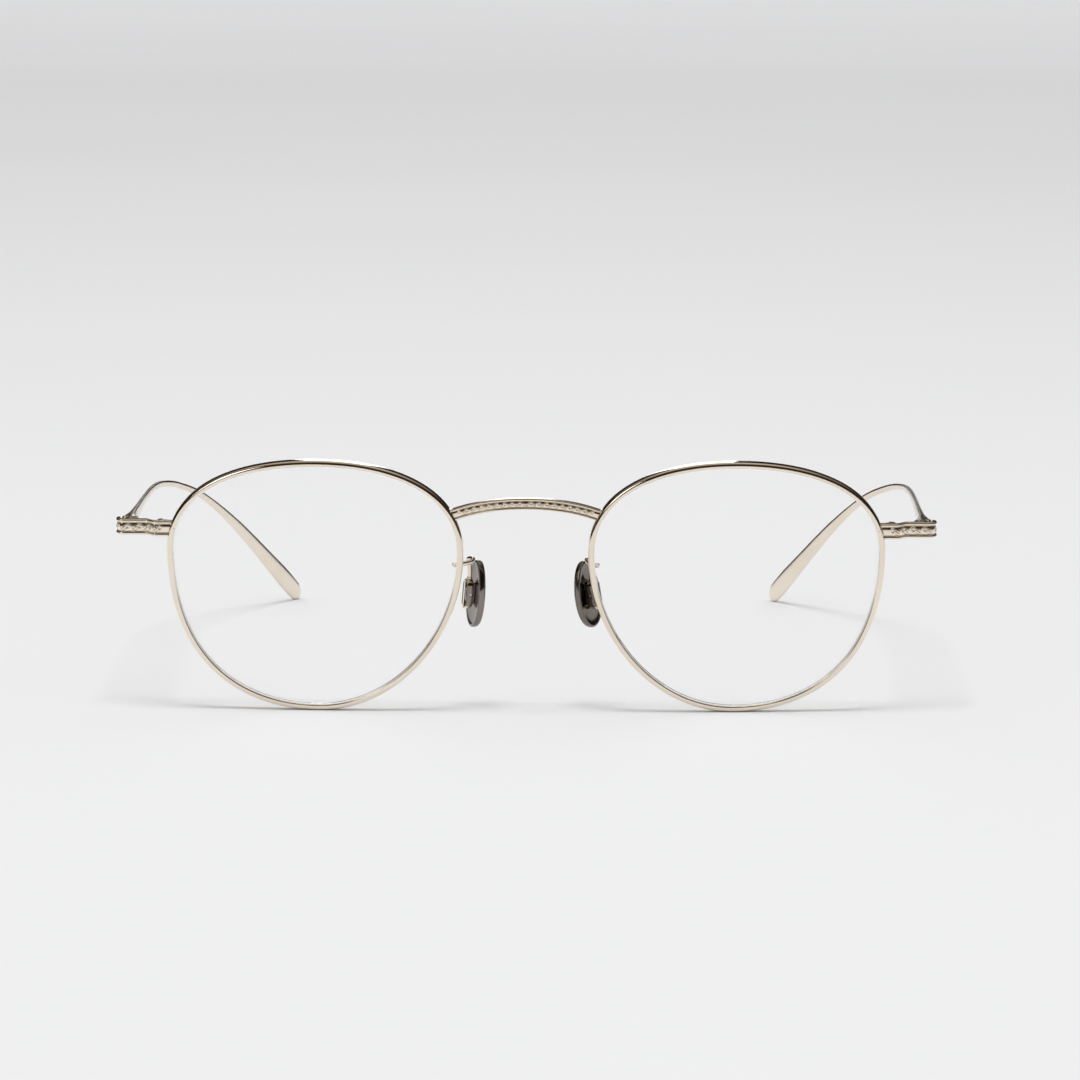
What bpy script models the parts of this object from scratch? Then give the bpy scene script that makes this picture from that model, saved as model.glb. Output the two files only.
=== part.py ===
"""Full-rim metal eyeglasses frame, panto shape, with demo lenses, pad arms and folding temples.

Metres, +Z up. The frame stands on its lower rims and its temple tips, as on a table.
The front faces -Y and the temples run back along +Y. Left and right are the wearer's:
left is +X. Lengths below are millimetres and angles are degrees.
"""

import math

import bmesh
import bpy
from mathutils import Matrix, Vector

MM = 0.001

# ---- lens shape: boxing size 48 x 41, 23 between lenses; four cubic quadrants
LENS_NASAL, LENS_TEMPORAL = 11.47, 59.60      # u of the nasal and temporal extremes
LENS_TOP, LENS_BOTTOM = 20.57, -20.57         # v of the top and bottom extremes
TOP_U, BOTTOM_U = 35.07, 35.12                # u where top and bottom are reached
NASAL_V, TEMPORAL_V = 6.12, 6.13              # v where the sides are widest
TOP_TEMPORAL = (0.64, 0.58)                   # handle shares, side then top or bottom
TOP_NASAL = (0.57, 0.65)
BOTTOM_NASAL = (0.51, 0.56)
BOTTOM_TEMPORAL = (0.63, 0.62)

# ---- front
TILT = 5.0            # the front leans forward at its top when the frame stands
WRAP = 3.0            # face-form angle of each rim
LENS_R = 180.0        # radius of the lens surfaces
FRONT_Y = -67.00      # y of the front datum
RIM_T, RIM_D = 1.00, 2.20        # rim wall from the front, rim depth
GROOVE_D, GROOVE_W = 0.42, 1.00  # lens groove
LENS_T = 1.20
BRAZE = 0.03          # seam between brazed pieces
SLIT = 0.10           # rim opening at the closing block
RIM_N = 84            # stations round the rim
CROWN = 0.46          # rounding of the rim's front edges

# ---- bridge
BRIDGE_MID_V, BRIDGE_END_V = 14.56, 12.50
BRIDGE_H, BRIDGE_T, BRIDGE_BOW = 1.95, 1.45, 0.9

# ---- end pieces
EP_V, EP_H, EP_T = 9.40, 2.72, 1.10
EP_STEP_U, EP_STEP = 63.4, 1.20
EP_OUT_U = 68.78      # middle of the turned-back end

# ---- hinges: three knuckles on a vertical pin
PIN_U, PIN_W = 66.65, 6.45
BARREL_R, BARREL_H = 1.12, 2.44
KNUCKLE_H = 0.76
WASHER_T = 0.07
HINGE_PIN_R = 0.55

# ---- nose pads
# each pad is set by hand on its arm, so the two sides differ: centre, tilt, splay
PAD_SET = {"left": ((10.40, 6.60, -2.42), 9.0, 34.0), "right": ((8.50, 6.60, -2.42), 5.0, 21.0)}
PAD_H, PAD_W, PAD_T = 11.6, 6.6, 1.40
BOX_N = 1.35          # box centre behind the pad's middle
BOX_W, BOX_L = 1.25, 2.62   # half width and half length of the box
ARM_R = 0.40

STEEL = (0.62, 0.60, 0.57)
GOLD = (0.83, 0.72, 0.55)


# ------------------------------------------------------------------ scene and helpers
for old in list(bpy.data.objects):
    bpy.data.objects.remove(old, do_unlink=True)


def material(name, colour, metallic, rough, alpha=1.0):
    m = bpy.data.materials.new(name)
    m.use_nodes = True
    p = m.node_tree.nodes["Principled BSDF"]
    p.inputs["Base Color"].default_value = (*colour, 1.0)
    p.inputs["Metallic"].default_value = metallic
    p.inputs["Roughness"].default_value = rough
    p.inputs["Alpha"].default_value = alpha
    return m


MAT = {
    "gold": material("champagne_gold", GOLD, 1.0, 0.12),
    "pad": material("pad_titanium", (0.36, 0.33, 0.30), 1.0, 0.20),
    "steel": material("screw_steel", STEEL, 1.0, 0.25),
    "lens": material("demo_lens", (0.95, 0.97, 0.97), 0.0, 0.02, 0.15),
    "nylon": material("nylon_washer", (0.86, 0.85, 0.80), 0.0, 0.5),
}


def solid(name, verts, faces, mat, origin=(0, 0, 0), sharp=35.0):
    """One object from points in millimetres in the world frame, faces turned outwards."""
    o = Vector(origin)
    mesh = bpy.data.meshes.new(name)
    mesh.from_pydata([tuple((Vector(p) - o) * MM) for p in verts], [], faces)
    bm = bmesh.new()
    bm.from_mesh(mesh)
    bmesh.ops.remove_doubles(bm, verts=bm.verts, dist=1e-7)
    bmesh.ops.recalc_face_normals(bm, faces=bm.faces)
    if bm.calc_volume(signed=True) < 0:
        bmesh.ops.reverse_faces(bm, faces=bm.faces)
    bm.to_mesh(mesh)
    bm.free()
    mesh.shade_smooth()
    mesh.set_sharp_from_angle(angle=math.radians(sharp))
    ob = bpy.data.objects.new(name, mesh)
    bpy.context.scene.collection.objects.link(ob)
    ob.location = o * MM
    if mat:
        mesh.materials.append(MAT[mat])
    return ob


def loft(rings, closed=False):
    """Points and faces of a skin over rings with equal counts, capped unless closed."""
    n, k = len(rings), len(rings[0])
    verts = [p for r in rings for p in r]
    faces = []
    for i in range(n if closed else n - 1):
        a, b = i * k, ((i + 1) % n) * k
        for j in range(k):
            j2 = (j + 1) % k
            faces.append((a + j, a + j2, b + j2, b + j))
    if not closed:
        faces.append(tuple(range(k - 1, -1, -1)))
        faces.append(tuple((n - 1) * k + j for j in range(k)))
    return verts, faces


def frame_points(o, ax, ay, az, pts):
    """Points given along three axes from o."""
    o, ax, ay, az = Vector(o), Vector(ax), Vector(ay), Vector(az)
    return [o + ax * x + ay * y + az * z for x, y, z in pts]


def turned(o, axis, profile, n=16, phase=0.0):
    """Rings of a turned shape: profile holds (radius, height) along axis from o."""
    axis = Vector(axis).normalized()
    side = axis.orthogonal().normalized()
    other = axis.cross(side)
    rings = []
    for r, h in profile:
        rings.append(
            [
                Vector(o)
                + axis * h
                + (side * math.cos(a) + other * math.sin(a)) * r
                for a in (phase + 2 * math.pi * i / n for i in range(n))
            ]
        )
    return loft(rings)


def box_mesh(o, ax, ay, az, lo, hi):
    p = [(x, y, z) for z in (lo[2], hi[2]) for x, y in ((lo[0], lo[1]), (hi[0], lo[1]), (hi[0], hi[1]), (lo[0], hi[1]))]
    f = [(0, 3, 2, 1), (4, 5, 6, 7), (0, 1, 5, 4), (1, 2, 6, 5), (2, 3, 7, 6), (3, 0, 4, 7)]
    return frame_points(o, ax, ay, az, p), f


def helper(name, verts, faces):
    ob = solid(name, verts, faces, None)
    ob.hide_render = True
    ob.display_type = "WIRE"
    return ob


def boolean(ob, other, op):
    m = ob.modifiers.new(op.lower(), "BOOLEAN")
    m.operation, m.solver, m.object = op, "EXACT", other


def front(u, w, v):
    """A point of the front: u across, w back, v up the leaning front."""
    t = math.radians(TILT)
    return Vector(
        (
            u,
            FRONT_Y + w * math.cos(t) - v * math.sin(t),
            FRONT_Z + w * math.sin(t) + v * math.cos(t),
        )
    )


def front_dir(u, w, v):
    t = math.radians(TILT)
    return Vector((u, w * math.cos(t) - v * math.sin(t), w * math.sin(t) + v * math.cos(t)))


# ------------------------------------------------------------------ lens shape
def cubic(p0, p1, p2, p3, t):
    s = 1 - t
    return tuple(
        s**3 * a + 3 * s * s * t * b + 3 * s * t * t * c + t**3 * d
        for a, b, c, d in zip(p0, p1, p2, p3)
    )


def quadrants():
    top, bot = (TOP_U, LENS_TOP), (BOTTOM_U, LENS_BOTTOM)
    tem, nas = (LENS_TEMPORAL, TEMPORAL_V), (LENS_NASAL, NASAL_V)

    def q(side, end, h):
        du, dv = end[0] - side[0], end[1] - side[1]
        return side, (side[0], side[1] + h[0] * dv), (end[0] - h[1] * du, end[1]), end

    a, b = q(tem, top, TOP_TEMPORAL), q(nas, top, TOP_NASAL)
    c, d = q(nas, bot, BOTTOM_NASAL), q(tem, bot, BOTTOM_TEMPORAL)
    return [a, b[::-1], c, d[::-1]]


def outline_dense(steps=240):
    pts = []
    for q in quadrants():
        pts += [cubic(*q, i / steps) for i in range(steps)]
    return pts


DENSE = outline_dense()


def outward(i):
    a, b = DENSE[i - 1], DENSE[(i + 1) % len(DENSE)]
    dx, dy = b[0] - a[0], b[1] - a[1]
    d = math.hypot(dx, dy)
    return dy / d, -dx / d


def stations(count, start=None, gap=0.0):
    """Evenly spaced (u, v, outward u, outward v) round the lens, from start index on."""
    n = len(DENSE)
    i0 = start or 0
    order = [(i0 + k) % n for k in range(n + 1)]
    length = [0.0]
    for a, b in zip(order, order[1:]):
        length.append(length[-1] + math.dist(DENSE[a], DENSE[b]))
    total = length[-1]
    if gap:
        wanted = [gap / 2 + (total - gap) * k / count for k in range(count + 1)]
    else:
        wanted = [total * k / count for k in range(count)]
    out, j = [], 0
    for s in wanted:
        while length[j + 1] < s:
            j += 1
        f = (s - length[j]) / (length[j + 1] - length[j])
        a, b = DENSE[order[j]], DENSE[order[j + 1]]
        na, nb = outward(order[j]), outward(order[j + 1])
        nx, ny = na[0] + (nb[0] - na[0]) * f, na[1] + (nb[1] - na[1]) * f
        d = math.hypot(nx, ny)
        out.append((a[0] + (b[0] - a[0]) * f, a[1] + (b[1] - a[1]) * f, nx / d, ny / d))
    return out


def depth(u, v):
    """How far back the rim's front edge lies: the lens curve plus the face-form angle."""
    uc = (LENS_NASAL + LENS_TEMPORAL) / 2
    half = (LENS_TEMPORAL - LENS_NASAL) / 2
    return ((u - uc) ** 2 + v * v - half * half) / (2 * LENS_R) + (u - LENS_NASAL) * math.tan(
        math.radians(WRAP)
    )


def slit_index():
    """The station on the temporal side at the end piece's height."""
    quarter = len(DENSE) // 4
    return min(range(quarter), key=lambda i: abs(DENSE[i][1] - EP_V))


def rim_edge_u(v, off, nasal):
    """u of the rim's outside, off from the lens line, at height v."""
    best = None
    for i, p in enumerate(DENSE):
        n = outward(i)
        uu, vv = p[0] + n[0] * off, p[1] + n[1] * off
        if (uu < 30) == nasal and (best is None or abs(vv - v) < best[0]):
            best = (abs(vv - v), uu)
    return best[1]


FRONT_Z = 0.0
FRONT_Z = -min(
    front(u + nu * RIM_T, depth(u, v) + CROWN, v + nv * RIM_T).z
    for u, v, nu, nv in stations(RIM_N, slit_index(), SLIT)
)

RIM_PROFILE = [
    (0.24, 0.0), (RIM_T - CROWN, 0.0), (RIM_T - 0.14, 0.14), (RIM_T, CROWN), (RIM_T, RIM_D - 0.12), (RIM_T - 0.12, RIM_D),
    (0.0, RIM_D), (0.0, RIM_D / 2 + GROOVE_W / 2), (GROOVE_D, RIM_D / 2), (0.0, RIM_D / 2 - GROOVE_W / 2), (0.0, 0.24),
]


def make_rim(side, s):
    rings = []
    for u, v, nu, nv in stations(RIM_N, slit_index(), SLIT):
        w = depth(u, v)
        rings.append([front(s * (u + nu * r), w + d, v + nv * r) for r, d in RIM_PROFILE])
    return solid(f"rim_{side}", *loft(rings), "gold")


def make_lens(side, s):
    """Meniscus with a V bevel that sits in the rim's groove."""
    uc, vc = (LENS_NASAL + LENS_TEMPORAL) / 2, 0.0
    st = stations(RIM_N)
    rings = []
    mid = RIM_D / 2
    for share, d in ((0.45, -LENS_T / 2), (0.8, -LENS_T / 2)):
        rings.append([(uc + (u - uc) * share, vc + (v - vc) * share, d) for u, v, nu, nv in st])
    for off, d in ((-0.07, -LENS_T / 2), (-0.07, -0.45), (GROOVE_D - 0.10, 0.0), (-0.07, 0.45), (-0.07, LENS_T / 2)):
        rings.append([(u + nu * off, v + nv * off, d) for u, v, nu, nv in st])
    for share, d in ((0.8, LENS_T / 2), (0.45, LENS_T / 2)):
        rings.append([(uc + (u - uc) * share, vc + (v - vc) * share, d) for u, v, nu, nv in st])
    verts, faces = loft([[front(s * u, depth(u, v) + mid + d, v) for u, v, d in r] for r in rings])
    # the caps become fans about the optical centre
    faces = faces[:-2]
    k, n = len(st), len(rings)
    verts.append(front(s * uc, depth(uc, vc) + mid - LENS_T / 2, vc))
    verts.append(front(s * uc, depth(uc, vc) + mid + LENS_T / 2, vc))
    c0, c1 = len(verts) - 2, len(verts) - 1
    for j in range(k):
        faces.append((c0, j, (j + 1) % k))
        faces.append((c1, (n - 1) * k + (j + 1) % k, (n - 1) * k + j))
    return solid(f"lens_{side}", verts, faces, "lens")


# ------------------------------------------------------------------ bridge and end pieces
def rail_profile(h, t, groove):
    """Two rounded rails with a flat-bottomed channel in front: (height, depth) pairs."""
    a, b = h / 2, h / 2 - 0.12
    c = h * 0.17
    return [
        (-b, t), (-a, t - 0.15), (-a, 0.22), (-b, 0.0), (-c - 0.14, 0.0), (-c, groove), (c, groove),
        (c + 0.14, 0.0), (b, 0.0), (a, 0.22), (a, t - 0.15), (b, t),
    ]


def make_bridge():
    prof = rail_profile(BRIDGE_H, BRIDGE_T, 0.22)
    span, steps = 12.0, 14
    rise = BRIDGE_MID_V - BRIDGE_END_V
    arc_r = (span * span + rise * rise) / (2 * rise)
    w_end = depth(12.6, BRIDGE_END_V) + 0.25
    rings = []
    for i in range(steps + 1):
        f = -1 + 2 * i / steps
        ang = f * math.asin(span / arc_r)
        u0, v0 = arc_r * math.sin(ang), BRIDGE_MID_V - arc_r * (1 - math.cos(ang))
        w0 = w_end - BRIDGE_BOW * math.cos(f * math.pi / 2) ** 2
        up = (math.sin(ang), math.cos(ang))
        ring = []
        for h, d in prof:
            u, v = u0 + up[0] * h, v0 + up[1] * h
            if i in (0, steps):   # each end is shaped to the rim that it is brazed to
                edge = rim_edge_u(v, RIM_T + BRAZE, True)
                u = math.copysign(edge, f)
            ring.append(front(u, w0 + d, v))
        rings.append(ring)
    return solid("bridge", *loft(rings), "gold")


def endpiece_path():
    """(u, w, turn) of the bar's front face: out from the rim, a step back, then a turn to the rear."""
    w0 = depth(LENS_TEMPORAL, EP_V) + 0.10
    pts = [(60.5, w0, 0.0), (62.5, w0, 0.0)]
    for i in range(1, 6):
        f = i / 6
        pts.append((62.5 + 1.8 * f, w0 + EP_STEP * (0.5 - 0.5 * math.cos(math.pi * f)), 0.0))
    pts.append((64.3, w0 + EP_STEP, 0.0))
    r = 1.32
    cu, cw = EP_OUT_U + EP_T / 2 - r, w0 + EP_STEP + r
    for i in range(6):
        a = math.pi / 2 * i / 5
        pts.append((cu + r * math.sin(a), cw - r * math.cos(a), a))
    pts.append((EP_OUT_U + EP_T / 2, PIN_W - 0.15, math.pi / 2))
    return pts


def make_endpiece(side, s):
    path = endpiece_path()
    prof = rail_profile(EP_H, EP_T, 0.25)
    rings = []
    for i, (u, w, turn) in enumerate(path):
        ring = []
        for h, t in prof:
            uu, ww = u - math.sin(turn) * t, w + math.cos(turn) * t
            if i == 0:
                uu = rim_edge_u(EP_V + h, RIM_T + 2 * BRAZE, False)
            ring.append(front(s * uu, ww, EP_V + h))
        rings.append(ring)
    return solid(f"endpiece_{side}", *loft(rings), "gold")


def make_closing_block(side, s):
    """The two halves of the rim lock behind the end piece, and the screw that shuts them."""
    w0 = depth(LENS_TEMPORAL, EP_V) + 0.10 + EP_T + 0.04
    u_screw, w_screw = 61.55, w0 + 0.98
    axis = front_dir(0, 0, 1)
    for half, lo, hi in (("upper", SLIT / 2, 0.92), ("lower", -0.92, -SLIT / 2)):
        rings = []
        for v in (lo, hi):
            edge = rim_edge_u(EP_V + (lo + hi) / 2, RIM_T + BRAZE + 0.05, False)
            pts = [(edge, w0), (62.05, w0)]
            pts += [
                (u_screw + 0.95 * math.cos(a), w_screw + 0.95 * math.sin(a))
                for a in (math.radians(-58 + 24.7 * k) for k in range(7))
            ]
            pts += [(edge, w0 + 1.93)]
            rings.append([front(s * u, w, EP_V + v) for u, w in pts])
        ob = solid(f"closing_block_{half}_{side}", *loft(rings), "gold")
        hole = helper(f"hole_closing_{half}_{side}", *turned(front(s * u_screw, w_screw, EP_V - 2), axis, [(0.48, 0), (0.48, 4)], 16))
        boolean(ob, hole, "DIFFERENCE")
    top = front(s * u_screw, w_screw, EP_V + 0.92 + 0.02)
    prof = [(0.43, -1.80), (0.43, 0.0), (0.80, 0.0), (0.80, 0.18), (0.55, 0.32)]
    solid(f"closing_screw_{side}", *turned(top, axis, prof, 16), "steel")


# ------------------------------------------------------------------ hinge
UP = Vector((0, 0, 1))
BACK = Vector((0, 1, 0))


def pin_point(s, dz=0.0):
    p = front(s * PIN_U, PIN_W, EP_V)
    return Vector((p.x, p.y, p.z + dz))


def make_hinge(side, s):
    c = pin_point(s)
    half, kn = BARREL_H / 2, KNUCKLE_H / 2
    out = Vector((s, 0, 0))
    # front leaf: two knuckles on a plate behind the end piece
    w_back = depth(LENS_TEMPORAL, EP_V) + 0.10 + EP_STEP + EP_T + BRAZE
    plate = box_mesh(
        front(0, 0, EP_V), front_dir(1, 0, 0), front_dir(0, 1, 0), front_dir(0, 0, 1),
        (s * (PIN_U - 1.2), w_back, -1.16), (s * (PIN_U + 0.95), PIN_W - 0.70, 1.16),
    )
    leaf = solid(f"hinge_front_leaf_{side}", *plate, "gold")
    boolean(leaf, helper(f"barrel_front_{side}", *turned(c - UP * half, UP, [(BARREL_R - 0.1, 0), (BARREL_R, 0.1), (BARREL_R, 2 * half - 0.1), (BARREL_R - 0.1, 2 * half)], 20)), "UNION")
    gap = kn + WASHER_T + 0.04
    boolean(leaf, helper(f"slot_front_{side}", *turned(c - UP * gap, UP, [(BARREL_R + 0.12, 0), (BARREL_R + 0.12, 2 * gap)], 20, 0.1)), "DIFFERENCE")
    boolean(leaf, helper(f"bore_front_{side}", *turned(c - UP * 3, UP, [(HINGE_PIN_R + 0.03, 0), (HINGE_PIN_R + 0.03, 6)], 16)), "DIFFERENCE")
    sink = half - 0.22
    boolean(leaf, helper(f"sink_front_{side}", *turned(c + UP * sink, UP, [(0.86, 0), (0.86, 2)], 16)), "DIFFERENCE")
    # screw that is the hinge pin, with a domed head
    prof = [(HINGE_PIN_R, -half), (HINGE_PIN_R, sink + 0.02), (0.82, sink + 0.02), (0.82, half + 0.06), (0.62, half + 0.22), (0.30, half + 0.30)]
    solid(f"hinge_screw_{side}", *turned(c, UP, prof, 16), "steel", origin=c)
    for name, z in (("upper", kn + 0.02), ("lower", -kn - 0.02 - WASHER_T)):
        r0, r1, n = HINGE_PIN_R + 0.05, BARREL_R - 0.05, 20
        rings = []
        for r, h in ((r1, 0), (r1, WASHER_T), (r0, WASHER_T), (r0, 0)):
            rings.append([c + Vector((r * math.cos(a), r * math.sin(a), z + h)) for a in (2 * math.pi * i / n for i in range(n))])
        solid(f"hinge_washer_{name}_{side}", *loft(rings, closed=True), "nylon")
    # temple leaf: the middle knuckle and its tang
    knuckle = turned(c - UP * kn, UP, [(BARREL_R - 0.06, 0), (BARREL_R, 0.06), (BARREL_R, 2 * kn - 0.06), (BARREL_R - 0.06, 2 * kn)], 20)
    leaf2 = solid(f"hinge_temple_leaf_{side}", *knuckle, "gold", origin=c)
    tang = box_mesh(c, out, BACK, UP, (-0.10, 0.55, -kn + 0.05), (0.80, 4.20, kn - 0.05))
    boolean(leaf2, helper(f"tang_{side}", *tang), "UNION")
    boolean(leaf2, helper(f"bore_temple_{side}", *turned(c - UP * 3, UP, [(HINGE_PIN_R + 0.04, 0), (HINGE_PIN_R + 0.04, 6)], 16)), "DIFFERENCE")


# ------------------------------------------------------------------ temples
def temple_route():
    """Control points (x, back from the front datum, z), for the left temple."""
    zh = pin_point(1).z
    return [
        (67.35, 7.20, zh), (67.40, 12.0, zh - 0.08), (67.65, 26.0, zh - 0.40), (68.2, 48.0, zh - 1.05), (68.5, 70.0, zh - 1.9),
        (67.9, 82.5, zh - 2.6), (65.8, 94.0, zh - 4.2), (61.9, 104.8, zh - 7.6), (56.9, 115.0, zh - 13.8), (51.3, 125.0, zh - 22.0), (45.6, 135.2, zh - 30.73),
    ]


def smooth(points, per):
    """Centripetal-like spline through the points."""
    p = [Vector(q) for q in points]
    p = [p[0] * 2 - p[1]] + p + [p[-1] * 2 - p[-2]]
    out = []
    for i in range(1, len(p) - 2):
        d = (p[i + 1] - p[i]).length
        m0 = (p[i + 1] - p[i - 1]) * (d / ((p[i + 1] - p[i]).length + (p[i] - p[i - 1]).length))
        m1 = (p[i + 2] - p[i]) * (d / ((p[i + 2] - p[i + 1]).length + (p[i + 1] - p[i]).length))
        for k in range(per):
            t = k / per
            out.append(
                p[i] * (2 * t**3 - 3 * t * t + 1) + m0 * (t**3 - 2 * t * t + t)
                + p[i + 1] * (-2 * t**3 + 3 * t * t) + m1 * (t**3 - t * t)
            )
    out.append(p[-2])
    return out


TEMPLE_SECTION = [  # distance from the root, height, thickness
    (0.0, 2.40, 2.60), (3.0, 2.40, 2.50), (6.0, 2.36, 1.90), (10.0, 2.30, 1.45), (22.0, 2.00, 1.25), (45.0, 1.40, 1.10), (70.0, 1.20, 1.10),
    (92.0, 1.20, 1.10), (104.0, 1.45, 1.10), (116.0, 2.40, 1.10), (128.0, 3.60, 1.15), (135.5, 4.20, 1.20), (138.0, 3.80, 1.15), (139.6, 2.60, 1.0), (140.4, 1.2, 0.8),
]


def section_at(s, total):
    s = s * TEMPLE_SECTION[-1][0] / total
    for (s0, h0, t0), (s1, h1, t1) in zip(TEMPLE_SECTION, TEMPLE_SECTION[1:]):
        if s <= s1 + 1e-6:
            f = (s - s0) / (s1 - s0)
            f = f * f * (3 - 2 * f) if s1 < 130 else f
            return h0 + (h1 - h0) * f, t0 + (t1 - t0) * f
    return TEMPLE_SECTION[-1][1:]


def make_temple(side, s):
    c = pin_point(s)
    route = smooth([(x, y + FRONT_Y, z) for x, y, z in temple_route()], 3)
    # finer stations at the rounded tip
    tail = route[-1] - route[-2]
    route = route[:-1] + [route[-2] + tail * f for f in (0.35, 0.62, 0.82, 0.94, 1.0)]
    run = [0.0]
    for a, b in zip(route, route[1:]):
        run.append(run[-1] + (b - a).length)
    rings = []
    for i, p in enumerate(route):
        a, b = route[max(i - 1, 0)], route[min(i + 1, len(route) - 1)]
        t = (b - a).normalized()
        if i == 0:
            t = BACK
        n = t.cross(UP).normalized()
        up = n.cross(t).normalized()
        h, w = section_at(run[i], run[-1])
        ring = []
        for x, y in ((0.5, 0.28), (0.28, 0.5), (-0.28, 0.5), (-0.5, 0.28), (-0.5, -0.28), (-0.28, -0.5), (0.28, -0.5), (0.5, -0.28)):
            q = p + n * (x * w) + up * (y * h)
            ring.append(Vector((s * q.x, q.y, q.z)))
        rings.append(ring)
    ob = solid(f"temple_{side}", *loft(rings), "gold", origin=c)
    kn = KNUCKLE_H / 2
    out = Vector((s, 0, 0))
    stop = box_mesh(c, out, BACK, UP, (1.28, 0.0, -1.12), (1.92, 2.2, 1.12))
    boolean(ob, helper(f"stop_{side}", *stop), "UNION")
    pocket = box_mesh(c, out, BACK, UP, (-0.15, 0.9, -kn), (0.85, 4.25, kn))
    boolean(ob, helper(f"pocket_{side}", *pocket), "DIFFERENCE")
    return ob


# ------------------------------------------------------------------ nose pads
def pad_axes(side, s):
    """Centre, long axis, width axis and nose-side normal of a pad, in the world frame."""
    c, tilt, splay = PAD_SET[side]
    a, b = math.radians(tilt), math.radians(splay)
    long = front_dir(-s * math.sin(a), 0, math.cos(a))
    nose = front_dir(-s * math.cos(b) * math.cos(a), math.sin(b), -math.cos(b) * math.sin(a))
    wide = long.cross(nose)
    if wide.y < 0:
        wide = -wide
    return front(s * c[0], c[1], c[2]), long, wide, nose


def make_pad(side, s):
    c, long, wide, nose = pad_axes(side, s)
    box_c = c - nose * BOX_N
    n = 24
    rings = []
    for share, d in ((0.60, -0.42), (0.92, -0.43), (1.0, -0.10), (0.95, 0.38), (0.76, 0.5)):
        ring = []
        for i in range(n):
            a = 2 * math.pi * i / n
            y = math.sin(a) * PAD_H / 2
            x = math.cos(a) * PAD_W / 2 * (1 - 0.10 * math.sin(a))
            ring.append(c + wide * (x * share) + long * (y - math.sin(a) * (1 - share) * PAD_W / 2) + nose * (d * PAD_T))
        rings.append(ring)
    pad = solid(f"nose_pad_{side}", *loft(rings), "pad", origin=box_c)
    # lug: an arched block on the pad's back that rocks on the screw inside the box
    arch = [(-1.75, -0.12), (-1.15, -0.42), (0.0, -0.57), (1.15, -0.42), (1.75, -0.12), (1.75, BOX_N - 0.40), (-1.75, BOX_N - 0.40)]
    lug = loft([[box_c + wide * w + long * l + nose * d for l, d in arch] for w in (-0.68, 0.68)])
    boolean(pad, helper(f"lug_{side}", *lug), "UNION")
    boolean(pad, helper(f"lug_bore_{side}", *turned(box_c - wide * 3, wide, [(0.36, 0), (0.36, 6)], 12)), "DIFFERENCE")
    # box: an open oblong ring round the lug, with a spine down its outer face
    def oblong(hw, hl, d, k=6):
        pts = []
        for sign in (1, -1):
            for i in range(k + 1):
                a = math.pi * i / k
                pts.append(box_c + wide * (sign * hw * math.cos(a)) + long * (sign * ((hl - hw) + hw * math.sin(a))) + nose * d)
        return pts
    wall = [oblong(BOX_W, BOX_L, 0.38), oblong(BOX_W, BOX_L, -0.60), oblong(BOX_W - 0.12, BOX_L - 0.12, -0.74), oblong(0.88, BOX_L - 0.37, -0.74), oblong(0.88, BOX_L - 0.37, 0.38)]
    cup = solid(f"pad_box_{side}", *loft(wall, closed=True), "gold")
    spine = box_mesh(box_c, wide, long, nose, (-0.16, -BOX_L + 0.10, -0.94), (0.16, BOX_L - 0.10, -0.68))
    boolean(cup, helper(f"spine_{side}", *spine), "UNION")
    boolean(cup, helper(f"cup_bore_{side}", *turned(box_c - wide * 3, wide, [(0.34, 0), (0.34, 6)], 12)), "DIFFERENCE")
    screw = [(0.30, -1.15), (0.30, 1.29), (0.52, 1.29), (0.52, 1.48), (0.38, 1.60)]
    solid(f"pad_screw_{side}", *turned(box_c, wide, screw, 12), "steel")
    # arm: a wire brazed across the back of the rim, looped round to the top of the box
    w_rim = depth(11.5, 3.5) + RIM_D + BRAZE + ARM_R

    def by_pad(l, d):
        return c + long * l - nose * d

    over = by_pad(6.0, 1.88)
    turn = over + front_dir(-s * 0.70, -0.95, 0.25)
    u1 = abs(turn.x) + 0.15
    route = [
        front(s * 12.45, w_rim, 3.50), front(s * 11.45, w_rim, 3.56), front(s * (u1 + 11.4) / 2, w_rim + 0.14, 3.68),
        front(s * u1, w_rim + 0.80, 3.88), turn, over, by_pad(4.8, 1.62), by_pad(3.6, 1.46), by_pad(BOX_L + 0.03, 1.42),
    ]
    route = smooth(route, 3)
    rings = []
    k = 8
    ref = None
    for i, p in enumerate(route):
        t = (route[min(i + 1, len(route) - 1)] - route[max(i - 1, 0)]).normalized()
        if ref is None:
            ref = t.cross(UP).normalized()
        ref = (ref - t * ref.dot(t)).normalized()
        other = t.cross(ref)
        rings.append([p + (ref * math.cos(a) + other * math.sin(a)) * ARM_R for a in (2 * math.pi * j / k for j in range(k))])
    solid(f"pad_arm_{side}", *loft(rings), "gold")


make_bridge()
for side, s in (("left", 1), ("right", -1)):
    make_rim(side, s)
    make_lens(side, s)
    make_endpiece(side, s)
    make_closing_block(side, s)
    make_hinge(side, s)
    make_temple(side, s)
    make_pad(side, s)
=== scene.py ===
"""Looks of the metal eyeglasses frame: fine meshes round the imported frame, materials, studio and camera."""

import math

import bmesh
import bpy
from mathutils import Matrix, Vector


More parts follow.
